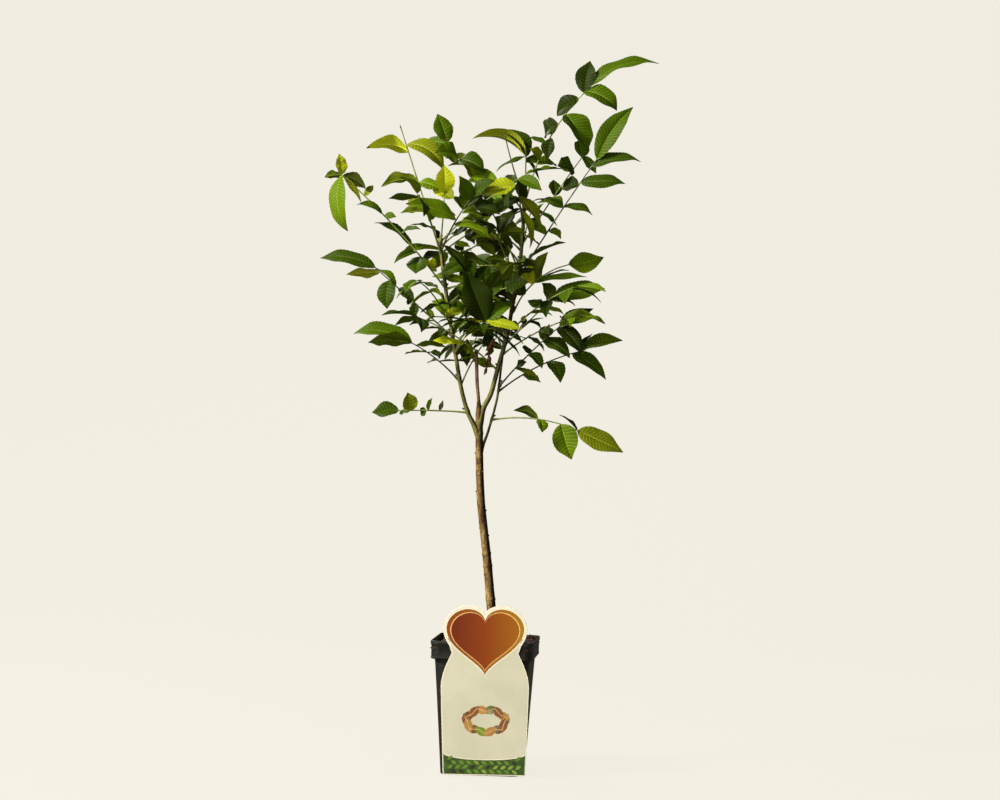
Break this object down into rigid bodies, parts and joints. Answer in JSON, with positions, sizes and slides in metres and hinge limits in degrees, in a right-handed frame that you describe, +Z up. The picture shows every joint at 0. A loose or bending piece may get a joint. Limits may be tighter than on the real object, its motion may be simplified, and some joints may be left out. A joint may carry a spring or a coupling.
{
  "type": "potted walnut tree",
  "caption": "Young walnut tree with pinnate leaves on two boughs and a shoot, in a square black nursery pot with a heart-topped hanging card",
  "frame": {"origin": "centre of the pot's flat underside", "axes": "+Z up along the plant, -Y towards the side the card hangs on, +X to the viewer's right when facing the card"},
  "size_m": [0.4982, 0.4018, 1.0582],
  "materials": {
    "black_plastic": "matte",
    "compost": "matte",
    "printed_card": "satin",
    "bark": "matte",
    "green_bark": "matte",
    "leaves": "matte"
  },
  "bodies": {
    "root": {"bough_left": "green_bark", "bough_right": "green_bark", "card_label": "printed_card", "foliage_left_1": "leaves", "foliage_left_2": "leaves", "foliage_left_3": "leaves", "foliage_left_4": "leaves", "foliage_left_5": "leaves", "foliage_left_6": "leaves", "foliage_left_7": "leaves", "foliage_middle_1": "leaves", "foliage_middle_2": "leaves", "foliage_middle_3": "leaves", "foliage_middle_4": "leaves", "foliage_middle_5": "leaves", "foliage_middle_6": "leaves", "foliage_middle_7": "leaves", "foliage_middle_8": "leaves", "foliage_right_1": "leaves", "foliage_right_2": "leaves", "foliage_right_3": "leaves", "foliage_right_4": "leaves", "foliage_right_5": "leaves", "foliage_right_6": "leaves", "foliage_right_7": "leaves", "foliage_round_1": "leaves", "foliage_round_10": "leaves", "foliage_round_11": "leaves", "foliage_round_12": "leaves", "foliage_round_2": "leaves", "foliage_round_3": "leaves", "foliage_round_4": "leaves", "foliage_round_5": "leaves", "foliage_round_6": "leaves", "foliage_round_7": "leaves", "foliage_round_8": "leaves", "foliage_round_9": "leaves", "foliage_top_1": "leaves", "foliage_top_2": "leaves", "foliage_top_3": "leaves", "pot": "black_plastic", "shoot_right": "green_bark", "soil": "compost", "trunk": "bark"}
  },
  "joints": []
}
